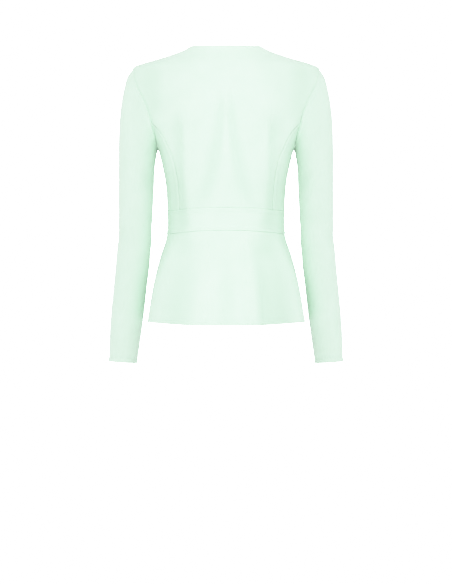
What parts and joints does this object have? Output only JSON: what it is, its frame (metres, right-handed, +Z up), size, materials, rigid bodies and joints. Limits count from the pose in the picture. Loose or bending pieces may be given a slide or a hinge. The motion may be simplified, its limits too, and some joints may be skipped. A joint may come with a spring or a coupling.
{
  "type": "blazer",
  "caption": "Collarless fitted blazer with curved panel seams, set-in waistband, short flared peplum and long slim sleeves, filled out as worn.",
  "frame": {"origin": "middle of the neck, level with the points where the shoulder seams start", "axes": "+X to the wearer's left, +Y to the back, +Z up"},
  "size_m": [0.4932, 0.2665, 0.6609],
  "materials": {
    "cloth": "fine matte crepe knit with a faint soft sheen",
    "button": "self-coloured satin plastic"
  },
  "bodies": {
    "root": {"back": "cloth", "side_left": "cloth", "side_right": "cloth", "front_left": "cloth", "front_right": "cloth", "waistband_back": "cloth", "waistband_left": "cloth", "waistband_right": "cloth", "peplum_back": "cloth", "peplum_left": "cloth", "peplum_right": "cloth", "sleeve_left": "cloth", "sleeve_right": "cloth", "button_1": "button", "button_2": "button", "button_3": "button"}
  },
  "joints": []
}
